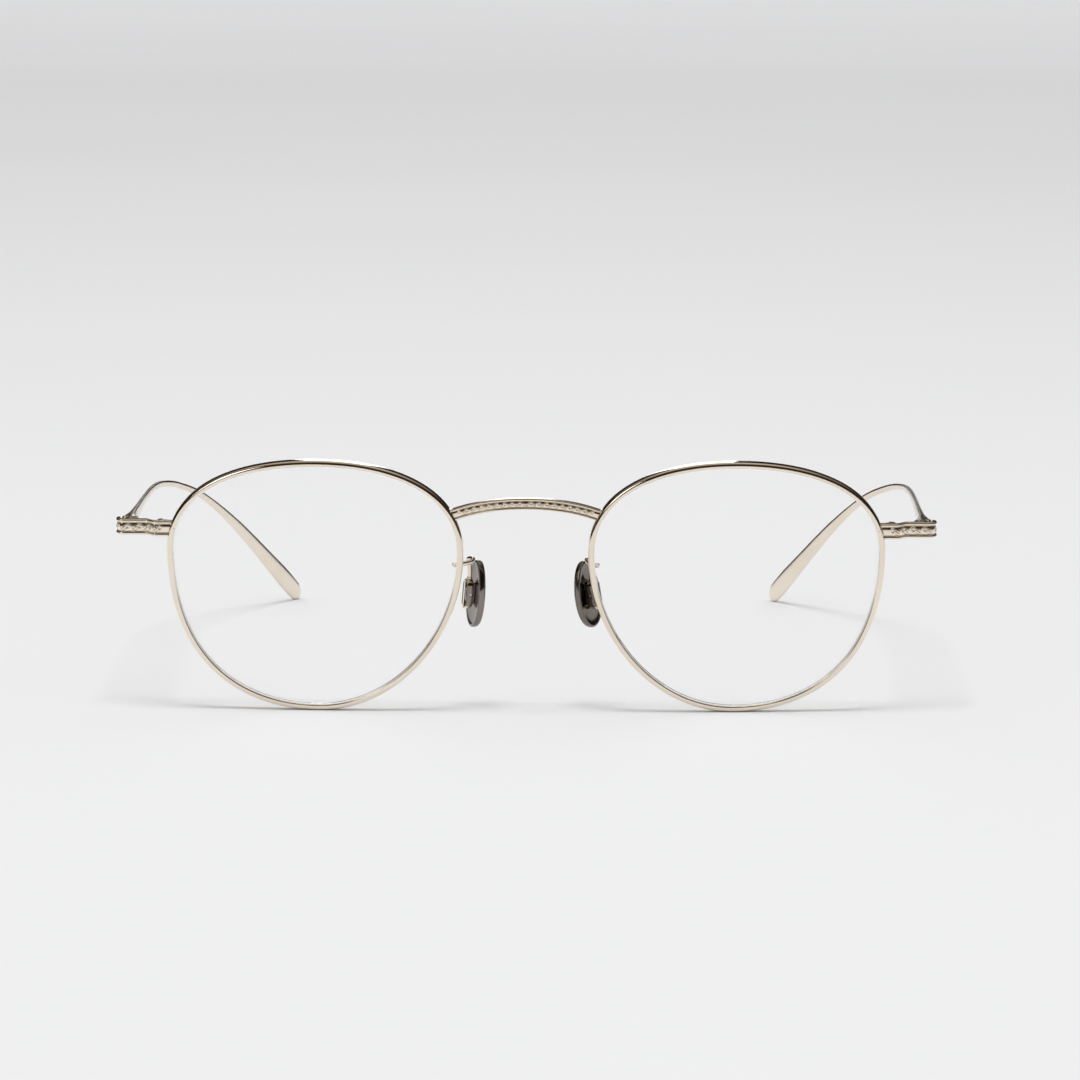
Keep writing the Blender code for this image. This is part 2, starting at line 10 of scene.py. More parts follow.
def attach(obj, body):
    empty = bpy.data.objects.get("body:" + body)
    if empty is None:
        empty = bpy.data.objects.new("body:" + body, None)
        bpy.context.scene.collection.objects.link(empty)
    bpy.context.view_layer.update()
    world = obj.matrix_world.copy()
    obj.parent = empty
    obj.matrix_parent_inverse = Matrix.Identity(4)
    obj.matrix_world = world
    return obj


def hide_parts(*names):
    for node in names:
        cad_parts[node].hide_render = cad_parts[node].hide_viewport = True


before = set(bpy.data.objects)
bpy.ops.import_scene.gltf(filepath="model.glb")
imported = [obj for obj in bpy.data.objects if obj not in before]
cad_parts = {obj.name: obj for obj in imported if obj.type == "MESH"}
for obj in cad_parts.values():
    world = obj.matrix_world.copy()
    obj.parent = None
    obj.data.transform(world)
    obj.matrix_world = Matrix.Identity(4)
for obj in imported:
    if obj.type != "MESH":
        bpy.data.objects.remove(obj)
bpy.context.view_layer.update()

MM = 0.001
SIDES = (("left", 1), ("right", -1))

# ---- the design's dimensions, millimetres and degrees
LENS_NASAL, LENS_TEMPORAL = 11.47, 59.60
LENS_TOP, LENS_BOTTOM = 20.57, -20.57
TOP_U, BOTTOM_U = 35.07, 35.12
NASAL_V, TEMPORAL_V = 6.12, 6.13
TOP_TEMPORAL, TOP_NASAL = (0.64, 0.58), (0.57, 0.65)
BOTTOM_NASAL, BOTTOM_TEMPORAL = (0.51, 0.56), (0.63, 0.62)
TILT, WRAP, LENS_R = 5.0, 3.0, 180.0
FRONT_Y = -67.00
RIM_T, RIM_D = 1.00, 2.20
GROOVE_D, GROOVE_W = 0.42, 1.00
LENS_T = 1.20
BRAZE, SLIT = 0.03, 0.10
CAD_RIM_N = 84
CROWN = 0.46
BRIDGE_MID_V, BRIDGE_END_V = 14.56, 12.50
BRIDGE_H, BRIDGE_T, BRIDGE_BOW = 1.95, 1.45, 0.9
EP_V, EP_H, EP_T = 9.40, 2.72, 1.10
EP_STEP, EP_OUT_U = 1.20, 68.78
PIN_U, PIN_W = 66.65, 6.45
BARREL_R, BARREL_H, KNUCKLE_H = 1.12, 2.44, 0.76
WASHER_T, HINGE_PIN_R = 0.07, 0.55
PAD_SET = {"left": ((10.40, 6.60, -2.42), 9.0, 34.0), "right": ((8.50, 6.60, -2.42), 5.0, 21.0)}
PAD_H, PAD_W, PAD_T = 11.6, 6.6, 1.40
BOX_N, BOX_W, BOX_L, ARM_R = 1.35, 1.25, 2.62, 0.40
UP, BACK = Vector((0, 0, 1)), Vector((0, 1, 0))


# ------------------------------------------------------------------ mesh helpers
def raw(name, verts, faces, sharp=32.0):
    """An unlinked-material object from points in millimetres, normals outwards."""
    mesh = bpy.data.meshes.new(name)
    mesh.from_pydata([tuple(Vector(p) * MM) for p in verts], [], faces)
    bm = bmesh.new()
    bm.from_mesh(mesh)
    bmesh.ops.remove_doubles(bm, verts=bm.verts, dist=1e-7)
    bmesh.ops.recalc_face_normals(bm, faces=bm.faces)
    if bm.calc_volume(signed=True) < 0:
        bmesh.ops.reverse_faces(bm, faces=bm.faces)
    bm.to_mesh(mesh)
    bm.free()
    mesh.shade_smooth()
    mesh.set_sharp_from_angle(angle=math.radians(sharp))
    ob = bpy.data.objects.new(name, mesh)
    bpy.context.scene.collection.objects.link(ob)
    return ob


def carve(ob, operations, sharp=32.0):
    """Boolean unions and cuts, baked into the mesh; the tools are removed."""
    tools = []
    for i, (op, verts, faces) in enumerate(operations):
        tool = raw(f"{ob.name}.tool{i}", verts, faces)
        tool.hide_render = True
        m = ob.modifiers.new(f"b{i}", "BOOLEAN")
        m.operation, m.solver, m.object = op, "EXACT", tool
        tools.append(tool)
    bpy.context.view_layer.update()
    graph = bpy.context.evaluated_depsgraph_get()
    mesh = bpy.data.meshes.new_from_object(ob.evaluated_get(graph))
    ob.modifiers.clear()
    old, ob.data = ob.data, mesh
    bpy.data.meshes.remove(old)
    for t in tools:
        m = t.data
        bpy.data.objects.remove(t, do_unlink=True)
        bpy.data.meshes.remove(m)
    mesh.shade_smooth()
    mesh.set_sharp_from_angle(angle=math.radians(sharp))
    return ob


def soften(ob, width, segments=2, angle=38.0):
    """A small rounded edge on every corner sharper than angle, baked in."""
    m = ob.modifiers.new("edge", "BEVEL")
    m.width, m.segments = width * MM, segments
    m.limit_method, m.angle_limit = "ANGLE", math.radians(angle)
    m.use_clamp_overlap = True
    m.harden_normals = True
    bpy.context.view_layer.update()
    graph = bpy.context.evaluated_depsgraph_get()
    mesh = bpy.data.meshes.new_from_object(ob.evaluated_get(graph))
    ob.modifiers.clear()
    old, ob.data = ob.data, mesh
    bpy.data.meshes.remove(old)
    mesh.shade_smooth()
    mesh.set_sharp_from_angle(angle=math.radians(50.0))
    return ob


def place(ob, mat, body, slot, *nodes):
    ob.data.materials.clear()
    ob.data.materials.append(mat)
    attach(ob, body)
    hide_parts(*nodes)
    return ob


def loft(rings, closed=False):
    n, k = len(rings), len(rings[0])
    verts = [p for r in rings for p in r]
    faces = []
    for i in range(n if closed else n - 1):
        a, b = i * k, ((i + 1) % n) * k
        for j in range(k):
            j2 = (j + 1) % k
            faces.append((a + j, a + j2, b + j2, b + j))
    if not closed:
        faces.append(tuple(range(k - 1, -1, -1)))
        faces.append(tuple((n - 1) * k + j for j in range(k)))
    return verts, faces


def turned(o, axis, profile, n=64, phase=0.0):
    axis = Vector(axis).normalized()
    side = axis.orthogonal().normalized()
    other = axis.cross(side)
    rings = []
    for r, h in profile:
        rings.append(
            [
                Vector(o) + axis * h + (side * math.cos(a) + other * math.sin(a)) * r
                for a in (phase + 2 * math.pi * i / n for i in range(n))
            ]
        )
    return loft(rings)


def ring_solid(o, axis, loop, n=72):
    """A turned ring: loop holds (radius, height) pairs round its closed section."""
    axis = Vector(axis).normalized()
    side = axis.orthogonal().normalized()
    other = axis.cross(side)
    rings = [
        [
            Vector(o) + axis * h + (side * math.cos(a) + other * math.sin(a)) * r
            for a in (2 * math.pi * i / n for i in range(n))
        ]
        for r, h in loop
    ]
    return loft(rings, closed=True)


def box_mesh(o, ax, ay, az, lo, hi):
    o, ax, ay, az = Vector(o), Vector(ax), Vector(ay), Vector(az)
    p = [
        o + ax * x + ay * y + az * z
        for z in (lo[2], hi[2])
        for x, y in ((lo[0], lo[1]), (hi[0], lo[1]), (hi[0], hi[1]), (lo[0], hi[1]))
    ]
    f = [(0, 3, 2, 1), (4, 5, 6, 7), (0, 1, 5, 4), (1, 2, 6, 5), (2, 3, 7, 6), (3, 0, 4, 7)]
    return p, f


def rounded(corners, steps=5):
    """A closed outline from (x, y, radius) corners, each turned into an arc."""
    out, n = [], len(corners)
    for i, (x, y, r) in enumerate(corners):
        if r <= 0:
            out.append((x, y))
            continue
        p = Vector((x, y))
        a = (Vector(corners[i - 1][:2]) - p).normalized()
        b = (Vector(corners[(i + 1) % n][:2]) - p).normalized()
        half = math.acos(max(-1.0, min(1.0, a.dot(b)))) / 2
        reach = r / math.tan(half)
        start, end = p + a * reach, p + b * reach
        mid = p + (a + b).normalized() * (r / math.sin(half))
        s, e = start - mid, end - mid
        turn = math.atan2(s.x * e.y - s.y * e.x, s.dot(e))
        for k in range(steps + 1):
            t = turn * k / steps
            c, d = math.cos(t), math.sin(t)
            out.append((mid.x + s.x * c - s.y * d, mid.y + s.x * d + s.y * c))
    return out


def spline(points, per):
    p = [Vector(q) for q in points]
    p = [p[0] * 2 - p[1]] + p + [p[-1] * 2 - p[-2]]
    out = []
    for i in range(1, len(p) - 2):
        d = (p[i + 1] - p[i]).length
        m0 = (p[i + 1] - p[i - 1]) * (d / ((p[i + 1] - p[i]).length + (p[i] - p[i - 1]).length))
        m1 = (p[i + 2] - p[i]) * (d / ((p[i + 2] - p[i + 1]).length + (p[i + 1] - p[i]).length))
        for k in range(per):
            t = k / per
            out.append(
                p[i] * (2 * t**3 - 3 * t * t + 1)
                + m0 * (t**3 - 2 * t * t + t)
                + p[i + 1] * (-2 * t**3 + 3 * t * t)
                + m1 * (t**3 - t * t)
            )
    out.append(p[-2])
    return out


# ------------------------------------------------------------------ front geometry
def front(u, w, v):
    t = math.radians(TILT)
    return Vector(
        (
            u,
            FRONT_Y + w * math.cos(t) - v * math.sin(t),
            FRONT_Z + w * math.sin(t) + v * math.cos(t),
        )
    )


def front_dir(u, w, v):
    t = math.radians(TILT)
    return Vector((u, w * math.cos(t) - v * math.sin(t), w * math.sin(t) + v * math.cos(t)))


def cubic(p0, p1, p2, p3, t):
    s = 1 - t
    return tuple(
        s**3 * a + 3 * s * s * t * b + 3 * s * t * t * c + t**3 * d
        for a, b, c, d in zip(p0, p1, p2, p3)
    )


def quadrants():
    top, bot = (TOP_U, LENS_TOP), (BOTTOM_U, LENS_BOTTOM)
    tem, nas = (LENS_TEMPORAL, TEMPORAL_V), (LENS_NASAL, NASAL_V)

    def q(side, end, h):
        du, dv = end[0] - side[0], end[1] - side[1]
        return side, (side[0], side[1] + h[0] * dv), (end[0] - h[1] * du, end[1]), end

    a, b = q(tem, top, TOP_TEMPORAL), q(nas, top, TOP_NASAL)
    c, d = q(nas, bot, BOTTOM_NASAL), q(tem, bot, BOTTOM_TEMPORAL)
    return [a, b[::-1], c, d[::-1]]


DENSE = [cubic(*q, i / 240) for q in quadrants() for i in range(240)]


def outward(i):
    a, b = DENSE[i - 1], DENSE[(i + 1) % len(DENSE)]
    dx, dy = b[0] - a[0], b[1] - a[1]
    d = math.hypot(dx, dy)
    return dy / d, -dx / d


def stations(count, start=0, gap=0.0):
    n = len(DENSE)
    order = [(start + k) % n for k in range(n + 1)]
    length = [0.0]
    for a, b in zip(order, order[1:]):
        length.append(length[-1] + math.dist(DENSE[a], DENSE[b]))
    total = length[-1]
    if gap:
        wanted = [gap / 2 + (total - gap) * k / count for k in range(count + 1)]
    else:
        wanted = [total * k / count for k in range(count)]
    out, j = [], 0
    for s in wanted:
        while length[j + 1] < s:
            j += 1
        f = (s - length[j]) / (length[j + 1] - length[j])
        a, b = DENSE[order[j]], DENSE[order[j + 1]]
        na, nb = outward(order[j]), outward(order[j + 1])
        nx, ny = na[0] + (nb[0] - na[0]) * f, na[1] + (nb[1] - na[1]) * f
        d = math.hypot(nx, ny)
        out.append((a[0] + (b[0] - a[0]) * f, a[1] + (b[1] - a[1]) * f, nx / d, ny / d))
    return out


def depth(u, v):
    uc = (LENS_NASAL + LENS_TEMPORAL) / 2
    half = (LENS_TEMPORAL - LENS_NASAL) / 2
    return ((u - uc) ** 2 + v * v - half * half) / (2 * LENS_R) + (u - LENS_NASAL) * math.tan(
        math.radians(WRAP)
    )


def slit_index():
    return min(range(len(DENSE) // 4), key=lambda i: abs(DENSE[i][1] - EP_V))


def rim_edge_u(v, off, nasal):
    """u of the rim's outside at height v, off from the lens line, read between stations."""
    best = None
    for i, p in enumerate(DENSE):
        n = outward(i)
        uu, vv = p[0] + n[0] * off, p[1] + n[1] * off
        if (uu < 30) != nasal:
            continue
        if best is None or abs(vv - v) < best[0]:
            best = (abs(vv - v), uu, i)
    i = best[2]
    pts = []
    for k in (i - 1, i, i + 1):
        k %= len(DENSE)
        n = outward(k)
        pts.append((DENSE[k][1] + n[1] * off, DENSE[k][0] + n[0] * off))
    pts.sort()
    for (v0, u0), (v1, u1) in zip(pts, pts[1:]):
        if v0 <= v <= v1 and v1 > v0:
            return u0 + (u1 - u0) * (v - v0) / (v1 - v0)
    return best[1]


FRONT_Z = 0.0
FRONT_Z = -min(
    front(u + nu * RIM_T, depth(u, v) + CROWN, v + nv * RIM_T).z
    for u, v, nu, nv in stations(CAD_RIM_N, slit_index(), SLIT)
)


# ------------------------------------------------------------------ materials
def node_material(name):
    m = bpy.data.materials.new(name)
    m.use_nodes = True
    t = m.node_tree
    return m, t, t.nodes["Principled BSDF"]


def link(t, a, b):
    t.links.new(a, b)


def noise(t, scale, detail=3.0, rough=0.55, stretch=None):
    tc = t.nodes.new("ShaderNodeTexCoord")
    n = t.nodes.new("ShaderNodeTexNoise")
    n.inputs["Scale"].default_value = scale
    n.inputs["Detail"].default_value = detail
    n.inputs["Roughness"].default_value = rough
    if stretch:
        m = t.nodes.new("ShaderNodeMapping")
        m.inputs["Scale"].default_value = stretch
        link(t, tc.outputs["Object"], m.inputs["Vector"])
        link(t, m.outputs["Vector"], n.inputs["Vector"])
    else:
        link(t, tc.outputs["Object"], n.inputs["Vector"])
    return n


def ramp(t, source, low, high, a=0.35, b=0.65):
    r = t.nodes.new("ShaderNodeMapRange")
    r.inputs["From Min"].default_value = a
    r.inputs["From Max"].default_value = b
    r.inputs["To Min"].default_value = low
    r.inputs["To Max"].default_value = high
    link(t, source, r.inputs["Value"])
    return r.outputs["Result"]


def blend_colour(t, source, c0, c1, a=0.35, b=0.65):
    r = t.nodes.new("ShaderNodeValToRGB")
    r.color_ramp.elements[0].position, r.color_ramp.elements[1].position = a, b
    r.color_ramp.elements[0].color, r.color_ramp.elements[1].color = (*c0, 1), (*c1, 1)
    link(t, source, r.inputs["Fac"])
    return r.outputs["Color"]


def metal(name, c0, c1, rough0, rough1, scratch=0.05, grain=2600.0, stretch=None, patch=70.0):
    """Polished metal: slow tone drift, uneven polish and fine hairlines."""
    m, t, p = node_material(name)
    p.inputs["Metallic"].default_value = 1.0
    drift = noise(t, patch, 3.0)
    link(t, blend_colour(t, drift.outputs["Fac"], c0, c1), p.inputs["Base Color"])
    polish = noise(t, patch * 4, 4.0)
    link(t, ramp(t, polish.outputs["Fac"], rough0, rough1), p.inputs["Roughness"])
    hair = noise(t, grain, 2.0, 0.6, stretch)
    bump = t.nodes.new("ShaderNodeBump")
    bump.inputs["Strength"].default_value = scratch
    bump.inputs["Distance"].default_value = 0.00002
    link(t, hair.outputs["Fac"], bump.inputs["Height"])
    link(t, bump.outputs["Normal"], p.inputs["Normal"])
    return m


GOLD_A, GOLD_B = (0.84, 0.74, 0.61), (0.89, 0.80, 0.68)
GOLD = metal("champagne_gold", GOLD_A, GOLD_B, 0.050, 0.105)
GOLD_WIRE = metal("champagne_gold_wire", GOLD_A, GOLD_B, 0.15, 0.185, 0.03, 1800.0, (1.0, 0.12, 1.0))
GOLD_CUT = metal("champagne_gold_engraved", (0.86, 0.75, 0.61), GOLD_B, 0.13, 0.24, 0.10, 3200.0)
PAD_METAL = metal("pad_titanium", (0.185, 0.163, 0.145), (0.27, 0.242, 0.218), 0.10, 0.20, 0.10, 2200.0, (1.0, 1.0, 0.2))
STEEL = metal("screw_steel", (0.56, 0.54, 0.50), (0.66, 0.63, 0.58), 0.14, 0.26, 0.12, 3600.0)


def lens_material():
    m, t, p = node_material("demo_lens_acrylic")
    p.inputs["Base Color"].default_value = (1.0, 1.0, 0.998, 1)
    p.inputs["Metallic"].default_value = 0.0
    p.inputs["IOR"].default_value = 1.40
    p.inputs["Transmission Weight"].default_value = 1.0
    film = noise(t, 26.0, 4.0)
    link(t, ramp(t, film.outputs["Fac"], 0.0, 0.018), p.inputs["Roughness"])
    return m


def nylon_material():
    m, t, p = node_material("nylon_natural")
    p.inputs["Metallic"].default_value = 0.0
    cloud = noise(t, 900.0, 3.0)
    link(t, blend_colour(t, cloud.outputs["Fac"], (0.78, 0.77, 0.71), (0.87, 0.86, 0.81)), p.inputs["Base Color"])
    link(t, ramp(t, cloud.outputs["Fac"], 0.42, 0.55), p.inputs["Roughness"])
    p.inputs["Subsurface Weight"].default_value = 0.15
    p.inputs["Subsurface Scale"].default_value = 0.0005
    return m


LENS = lens_material()
NYLON = nylon_material()


# ------------------------------------------------------------------ rims and lenses
def rim_section():
    """(outward, back) outline of the grooved rim wire, edges polished round."""
    return rounded(
        [
            (0.0, 0.0, 0.24), (RIM_T - 0.02, 0.0, 0.60), (RIM_T - 0.02, RIM_D, 0.15), (0.0, RIM_D, 0.10),
            (0.0, RIM_D / 2 + GROOVE_W / 2, 0.05), (GROOVE_D, RIM_D / 2, 0.06), (0.0, RIM_D / 2 - GROOVE_W / 2, 0.05),
        ],
        7,
    )


for side, s in SIDES:
    rings = []
    for u, v, nu, nv in stations(420, slit_index(), SLIT):
        w = depth(u, v)
        rings.append([front(s * (u + nu * r), w + d, v + nv * r) for r, d in rim_section()])
    place(raw(f"rim_wire_{side}", *loft(rings)), GOLD, "front", "gold", f"rim_{side}")

for side, s in SIDES:
    uc, mid, h = (LENS_NASAL + LENS_TEMPORAL) / 2, RIM_D / 2, LENS_T / 2
    st = stations(300)
    rings = []
    inner = (0.06, 0.2, 0.35, 0.5, 0.65, 0.8, 0.92)
    for share in inner:
        rings.append([(uc + (u - uc) * share, v * share, -h) for u, v, nu, nv in st])
    for off, d in ((-0.10, -h), (-0.07, -h + 0.04), (-0.07, -0.45), (GROOVE_D - 0.12, -0.03), (GROOVE_D - 0.12, 0.03), (-0.07, 0.45), (-0.07, h - 0.04), (-0.10, h)):
        rings.append([(u + nu * off, v + nv * off, d) for u, v, nu, nv in st])
    for share in reversed(inner):
        rings.append([(uc + (u - uc) * share, v * share, h) for u, v, nu, nv in st])
    skin = loft([[front(s * u, depth(u, v) + mid + d, v) for u, v, d in r] for r in rings])
    ob = place(raw(f"demo_lens_{side}", *skin, sharp=40.0), LENS, "front", "lens", f"lens_{side}")
    ob.visible_shadow = False


# ------------------------------------------------------------------ bridge and end pieces
def leaf_relief(s, y, half, period):
    """Height of a running vine of paired leaves at s along and y across a channel, 0 to 1."""
    best = 0.0
    sway = 0.22 * half
    stem = abs(y - sway * math.sin(2 * math.pi * s / period))
    best = max(0.0, 0.75 * (1.0 - (stem / (0.16 * half)) ** 2))
    base = round(s / (period / 2))
    for k in (base - 2, base - 1, base, base + 1, base + 2):
        side = 1 if k % 2 else -1
        cs, cy = k * period / 2 + 0.10 * period, side * 0.44 * half
        a = side * math.radians(36)
        ds, dy = s - cs, y - cy
        along, across = ds * math.cos(a) + dy * math.sin(a), -ds * math.sin(a) + dy * math.cos(a)
        long, wide = 0.40 * period, 0.30 * half
        q = abs(along) / long
        if q >= 1:
            continue
        edge = wide * (1 - q * q) * (1.0 - 0.25 * along / long)
        r = abs(across) / edge
        if r >= 1:
            continue
        vein = 0.32 * math.exp(-((across / (0.22 * edge)) ** 2)) * (1 - q)
        best = max(best, math.sqrt(1 - r * r) - vein)
    return best


def bead_ring(h, t, groove, s, period, margin):
    """The section at s along as one loop: lower bead, leafed pillow, upper bead, rounded back."""
    c = 0.29 * h
    r, mid = (h / 2 - c) / 2, (h / 2 + c) / 2
    fade = max(0.0, min(1.0, margin / 0.5))
    bead = [(mid + r * math.sin(a), groove * (1 - math.cos(a))) for a in (math.radians(-90 + 180 * k / 12) for k in range(13))]
    pillow = []
    for j in range(1, 30):
        y = -c + 2 * c * j / 30
        edge = min(1.0, (c - abs(y)) / (0.12 * c))
        base = groove * (0.42 + 0.50 * (y / c) ** 2)
        pillow.append((y, base - 0.405 * groove * fade * edge * leaf_relief(s, y, c, period)))
    e = 0.24
    back = [(h / 2 - e + e * math.cos(a), t - e + e * math.sin(a)) for a in (math.radians(90 * k / 5) for k in range(6))]
    return [(-y, d) for y, d in reversed(bead)] + pillow + bead + back + [(-y, d) for y, d in reversed(back)]


def make_bridge():
    span, steps = 12.0, 420
    groove = 0.26
    rise = BRIDGE_MID_V - BRIDGE_END_V
    arc_r = (span * span + rise * rise) / (2 * rise)
    w_end = depth(12.6, BRIDGE_END_V) + 0.25
    half_ang = math.asin(span / arc_r)
    total = 2 * arc_r * half_ang
    rings = []
    for i in range(steps + 1):
        f = -1 + 2 * i / steps
        ang = f * half_ang
        along = abs(f) * total / 2
        u0, v0 = arc_r * math.sin(ang), BRIDGE_MID_V - arc_r * (1 - math.cos(ang))
        w0 = w_end - BRIDGE_BOW * math.cos(f * math.pi / 2) ** 2
        up = (math.sin(ang), math.cos(ang))
        ring = []
        for h, d in bead_ring(BRIDGE_H, BRIDGE_T, groove, along, 1.30, total / 2 - along - 0.6):
            u, v = u0 + up[0] * h, v0 + up[1] * h
            if i in (0, steps):
                u = math.copysign(rim_edge_u(v, RIM_T - 0.02, True), f)
            ring.append(front(u, w0 + d, v))
        rings.append(ring)
    place(raw("bridge_engraved", *loft(rings), sharp=28.0), GOLD_CUT, "front", "gold", "bridge")


def endpiece_path():
    w0 = depth(LENS_TEMPORAL, EP_V) + 0.10
    pts = [(60.3, w0), (61.4, w0), (62.5, w0)]
    for i in range(1, 12):
        f = i / 12
        pts.append((62.5 + 1.8 * f, w0 + EP_STEP * (0.5 - 0.5 * math.cos(math.pi * f))))
    pts += [(64.3, w0 + EP_STEP), (65.5, w0 + EP_STEP), (66.7, w0 + EP_STEP)]
    r = 1.32
    cu, cw = EP_OUT_U + EP_T / 2 - r, w0 + EP_STEP + r
    for i in range(1, 15):
        a = math.pi / 2 * i / 14
        pts.append((cu + r * math.sin(a), cw - r * math.cos(a)))
    pts.append((EP_OUT_U + EP_T / 2, PIN_W - 0.15))
    return pts


def even(points, step):
    """The polyline again with evenly spaced points."""
    p = [Vector(q) for q in points]
    run = [0.0]
    for a, b in zip(p, p[1:]):
        run.append(run[-1] + (b - a).length)
    n = max(2, round(run[-1] / step))
    out, j = [], 0
    for k in range(n + 1):
        s = run[-1] * k / n
        while j < len(run) - 2 and run[j + 1] < s:
            j += 1
        out.append(p[j].lerp(p[j + 1], (s - run[j]) / (run[j + 1] - run[j])))
    return out, run[-1]


def make_endpiece(side, s):
    path, total = even(endpiece_path(), 0.045)
    n = len(path)
    rings = []
    for i, p in enumerate(path):
        a, b = path[max(i - 2, 0)], path[min(i + 2, n - 1)]
        t = (b - a).normalized()
        if p.x < EP_OUT_U + EP_T / 2 - 1.32:
            t = Vector((1.0, 0.0))      # the step is pressed straight back
        along = total * i / (n - 1)
        ring = []
        for h, d in bead_ring(EP_H, EP_T, 0.34, along, 2.0, min(along - 1.0, total - along - 0.5)):
            uu, ww = p.x - t.y * d, p.y + t.x * d
            if i == 0:
                uu = rim_edge_u(EP_V + h, RIM_T - 0.02, False)
            ring.append(front(s * uu, ww, EP_V + h))
        rings.append(ring)
    place(raw(f"end_piece_{side}", *loft(rings), sharp=28.0), GOLD_CUT, "front", "gold", f"endpiece_{side}")


make_bridge()
for side, s in SIDES:
    make_endpiece(side, s)


# ------------------------------------------------------------------ closing blocks
def slot_cut(o, axis, along, half_len, half_w, low, high):
    """A screwdriver slot across a head."""
    axis, along = Vector(axis).normalized(), Vector(along).normalized()
    return ("DIFFERENCE", *box_mesh(o, along, axis.cross(along), axis, (-half_len, -half_w, low), (half_len, half_w, high)))


for side, s in SIDES:
    w0 = depth(LENS_TEMPORAL, EP_V) + 0.10 + EP_T + 0.04
    u_screw, w_screw = 61.55, w0 + 0.98
    axis = front_dir(0, 0, 1)
    for half, lo, hi in (("upper", SLIT / 2, 0.92), ("lower", -0.92, -SLIT / 2)):
        edge = rim_edge_u(EP_V + (lo + hi) / 2, RIM_T, False)
        line = [(edge, w0), (62.05, w0)]
        line += [
            (u_screw + 0.95 * math.cos(a), w_screw + 0.95 * math.sin(a))
            for a in (math.radians(-58 + 148.2 * k / 24) for k in range(25))
        ]
        line += [(edge, w0 + 1.93)]
        skin = loft([[front(s * u, w, EP_V + v) for u, w in line] for v in (lo, hi)])
        ob = raw(f"rim_lock_{half}_{side}", *skin)
        carve(ob, [("DIFFERENCE", *turned(front(s * u_screw, w_screw, EP_V - 2), axis, [(0.48, 0), (0.48, 4)], 48))])
        soften(ob, 0.07)
        place(ob, GOLD, "front", "gold", f"closing_block_{half}_{side}")
    top = front(s * u_screw, w_screw, EP_V + 0.94)
    prof = [(0.36, -1.80), (0.43, -1.73), (0.43, -0.03), (0.46, 0.0), (0.74, 0.0), (0.79, 0.03), (0.80, 0.06), (0.79, 0.15), (0.72, 0.23), (0.58, 0.285), (0.36, 0.312), (0.12, 0.32)]
    ob = raw(f"rim_lock_screw_{side}", *turned(top, axis, prof, 56))
    carve(ob, [slot_cut(top, axis, front_dir(0.5, 0.87, 0), 1.2, 0.10, 0.16, 0.8)])
    place(ob, STEEL, "front", "steel", f"closing_screw_{side}")


# ------------------------------------------------------------------ hinges
def pin_point(s):
    p = front(s * PIN_U, PIN_W, EP_V)
    return Vector((p.x, p.y, p.z))


for side, s in SIDES:
    c = pin_point(s)
    half, kn = BARREL_H / 2, KNUCKLE_H / 2
    out = Vector((s, 0, 0))
    w_back = depth(LENS_TEMPORAL, EP_V) + 0.10 + EP_STEP + EP_T + 0.0
    gap = kn + WASHER_T + 0.04
    sink = half - 0.22

    def barrel(lo, hi, r, e):
        """A knuckle with rounded rims, from lo to hi along the pin."""
        steps = [(r - e + e * math.sin(a), lo + e - e * math.cos(a)) for a in (math.pi / 2 * k / 4 for k in range(5))]
        steps += [(r - e + e * math.cos(a), hi - e + e * math.sin(a)) for a in (math.pi / 2 * k / 4 for k in range(5))]
        return turned(c, UP, steps, 72)

    ob = raw(f"hinge_knuckles_{side}", *barrel(-half, half, BARREL_R, 0.12))
    plate = box_mesh(
        front(0, 0, EP_V), front_dir(1, 0, 0), front_dir(0, 1, 0), front_dir(0, 0, 1),
        (s * (PIN_U - 1.2), w_back, -1.16), (s * (PIN_U + 0.95), PIN_W - 0.70, 1.16),
    )
    carve(
        ob,
        [
            ("UNION", *plate),
            ("DIFFERENCE", *turned(c - UP * gap, UP, [(BARREL_R + 0.12, 0), (BARREL_R + 0.12, 2 * gap)], 72, 0.02)),
            ("DIFFERENCE", *turned(c - UP * 3, UP, [(HINGE_PIN_R + 0.03, 0), (HINGE_PIN_R + 0.03, 6)], 48)),
            ("DIFFERENCE", *turned(c + UP * sink, UP, [(0.86, 0), (0.86, 2)], 56)),
        ],
    )
    place(ob, GOLD, "front", "gold", f"hinge_front_leaf_{side}")

    prof = [(0.45, -half), (HINGE_PIN_R, -half + 0.1), (HINGE_PIN_R, sink + 0.02), (0.78, sink + 0.02), (0.82, sink + 0.06)]
    prof += [(0.82 * math.cos(a), half + 0.02 + 0.28 * math.sin(a)) for a in (math.radians(82) * k / 9 for k in range(10))]
    ob = raw(f"hinge_pin_screw_{side}", *turned(c, UP, prof, 64))
    carve(ob, [slot_cut(c, UP, Vector((0.20 * s, 1, 0)), 1.2, 0.11, half - 0.02, half + 1)])
    place(ob, STEEL, "front", "steel", f"hinge_screw_{side}")

    for name, z in (("upper", kn + 0.02), ("lower", -kn - 0.02 - WASHER_T)):
        r0, r1, t, e = HINGE_PIN_R + 0.05, BARREL_R - 0.05, WASHER_T, 0.02
        loop = [(r1 - e, z), (r1, z + e), (r1, z + t - e), (r1 - e, z + t), (r0 + e, z + t), (r0, z + t - e), (r0, z + e), (r0 + e, z)]
        place(raw(f"drag_washer_{name}_{side}", *ring_solid(c, UP, loop)), NYLON, "front", "nylon", f"hinge_washer_{name}_{side}")

    ob = raw(f"temple_knuckle_{side}", *barrel(-kn, kn, BARREL_R, 0.07))
    carve(
        ob,
        [
            ("UNION", *box_mesh(c, out, BACK, UP, (-0.10, 0.55, -kn + 0.05), (0.80, 4.20, kn - 0.05))),
            ("DIFFERENCE", *turned(c - UP * 3, UP, [(HINGE_PIN_R + 0.04, 0), (HINGE_PIN_R + 0.04, 6)], 48)),
        ],
    )
    place(ob, GOLD, f"temple_{side}", "gold", f"hinge_temple_leaf_{side}")


